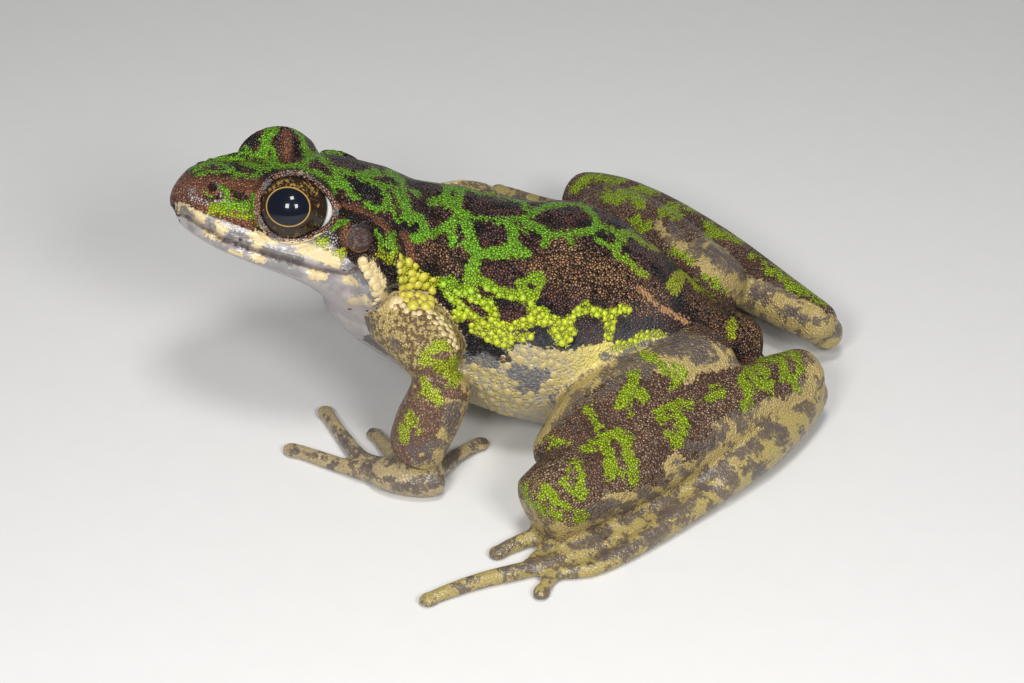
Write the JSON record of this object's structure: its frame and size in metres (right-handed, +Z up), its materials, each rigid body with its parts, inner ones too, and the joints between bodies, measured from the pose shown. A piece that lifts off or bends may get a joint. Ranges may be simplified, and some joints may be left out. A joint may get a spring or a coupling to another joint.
{
  "type": "wuyi sharp-nosed frog",
  "caption": "Life-size sitting frog with a pointed snout, large side eyes, folded long hind legs and disc-tipped fingers and toes.",
  "frame": {"origin": "on the ground, at the middle of the whole box", "axes": "the frog faces -X, its left side is towards -Y and +Z is up"},
  "size_m": [0.0866, 0.0928, 0.04],
  "materials": {
    "back_skin": "damp, finely granular",
    "limb_skin": "damp, smooth to granular",
    "eye": "wet gloss",
    "eardrum": "damp, smooth"
  },
  "bodies": {
    "root": {"head": "back_skin", "torso": "back_skin", "eye_left": "eye", "eye_right": "eye", "eardrum_left": "eardrum", "eardrum_right": "eardrum", "upper_arm_left": "limb_skin", "upper_arm_right": "limb_skin", "forearm_left": "limb_skin", "forearm_right": "limb_skin", "hand_left": "limb_skin", "hand_right": "limb_skin", "thigh_left": "limb_skin", "thigh_right": "limb_skin", "shank_left": "limb_skin", "shank_right": "limb_skin", "foot_left": "limb_skin", "foot_right": "limb_skin"}
  },
  "joints": []
}
